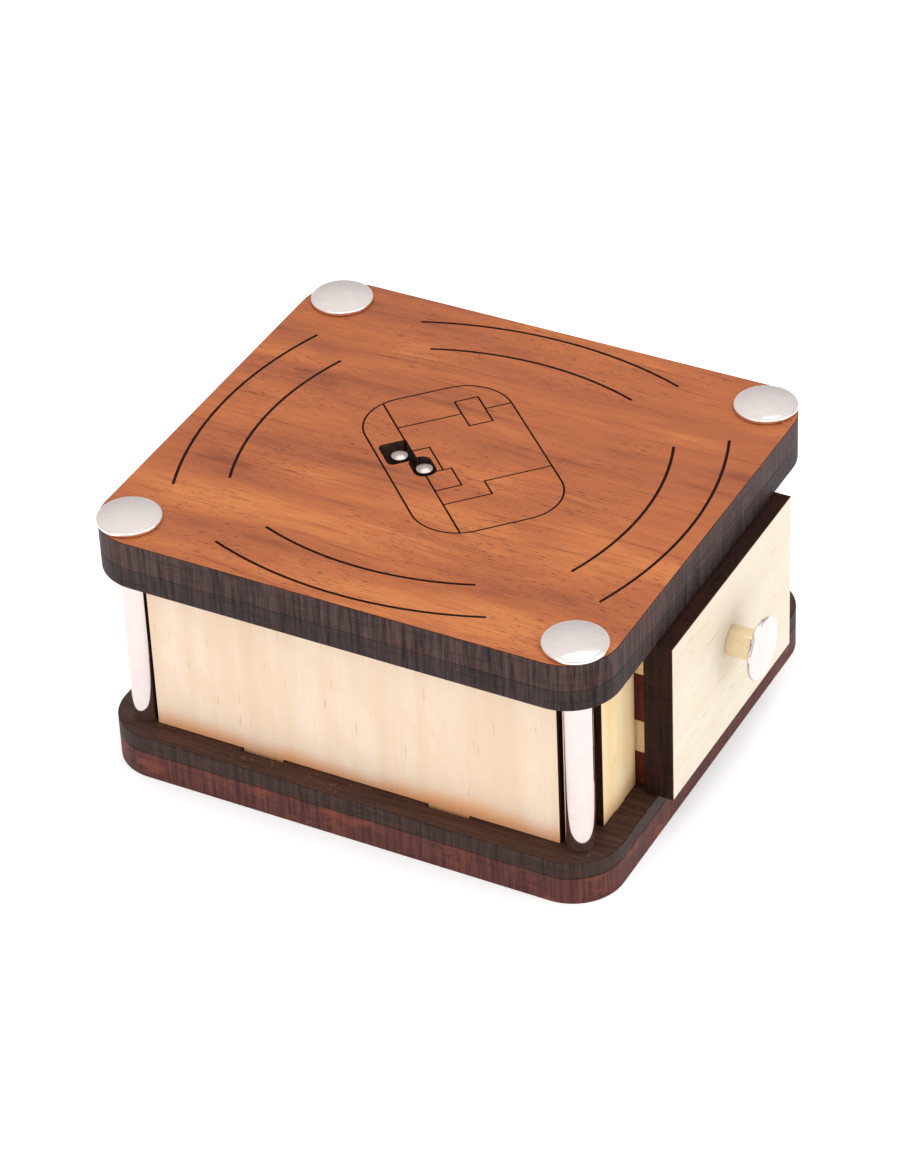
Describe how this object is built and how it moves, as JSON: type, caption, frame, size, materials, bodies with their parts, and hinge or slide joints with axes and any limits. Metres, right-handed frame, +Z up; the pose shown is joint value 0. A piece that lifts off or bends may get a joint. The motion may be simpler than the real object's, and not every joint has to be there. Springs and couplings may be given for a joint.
{
  "type": "puzzle box",
  "caption": "Small wooden puzzle box: a rounded lid with sliding lock tiles, chromed corner pillars and a drawer with a round knob.",
  "frame": {"origin": "centre of the base plate's underside", "axes": "+Z up, -Y towards the drawer front, +X to the right as the drawer is faced"},
  "size_m": [0.132, 0.1602, 0.0777],
  "materials": {
    "red_brown_face": "satin",
    "dark_ply_edge": "matt, laser-burnt",
    "base_lower_ply": "matt, laser-burnt",
    "pale_ply": "satin",
    "chromed_steel": "polished",
    "bright_steel": "bright",
    "brass": "polished"
  },
  "bodies": {
    "box": {"base_lower_plate": "base_lower_ply", "base_upper_plate": "dark_ply_edge", "side_panel_left": "pale_ply", "side_panel_right": "pale_ply", "back_panel": "pale_ply", "front_panel_left": "pale_ply", "front_panel_right": "pale_ply", "guide_wall_left": "pale_ply", "guide_wall_right": "pale_ply", "lid_lower_plate": "dark_ply_edge", "lid_upper_plate": "red_brown_face", "inlay_side": "red_brown_face", "inlay_head": "red_brown_face", "inlay_field": "red_brown_face", "inlay_foot": "red_brown_face", "inlay_square_key": "red_brown_face", "inlay_long_key": "red_brown_face", "inlay_pin_key": "red_brown_face", "keeper_plate": "pale_ply", "drawer_stop": "pale_ply", "pillar_front_left": "chromed_steel", "pillar_front_right": "chromed_steel", "pillar_back_left": "chromed_steel", "pillar_back_right": "chromed_steel", "cap_screw_front_left": "chromed_steel", "cap_screw_front_right": "chromed_steel", "cap_screw_back_left": "chromed_steel", "cap_screw_back_right": "chromed_steel", "base_screw_front_left": "bright_steel", "base_screw_front_right": "bright_steel", "base_screw_back_left": "bright_steel", "base_screw_back_right": "bright_steel"},
    "drawer": {"drawer_face_outer": "pale_ply", "drawer_face_inner": "dark_ply_edge", "drawer_box_front": "pale_ply", "drawer_side_left": "pale_ply", "drawer_side_right": "pale_ply", "drawer_back": "pale_ply", "drawer_bottom": "pale_ply", "knob_sleeve": "brass", "knob_screw": "chromed_steel", "knob_nut": "bright_steel"},
    "lock_a": {"tile_a": "dark_ply_edge", "pin_a": "bright_steel", "lock_bar_a": "pale_ply", "peg_a": "bright_steel"},
    "lock_b": {"tile_b": "dark_ply_edge", "pin_b": "bright_steel", "lock_bar_b": "pale_ply", "peg_b": "bright_steel"}
  },
  "joints": [
    {"name": "drawer_slide", "type": "slide", "parent": "box", "child": "drawer", "axis": [0, -1, 0], "range_m": [-0.0036, 0.085]},
    {"name": "lock_a_slide", "type": "slide", "parent": "box", "child": "lock_a", "axis": [0.6909, 0.723, 0], "range_m": [0, 0.0024]},
    {"name": "lock_b_slide", "type": "slide", "parent": "box", "child": "lock_b", "axis": [0.6909, 0.723, 0], "range_m": [0, 0.0024]}
  ]
}
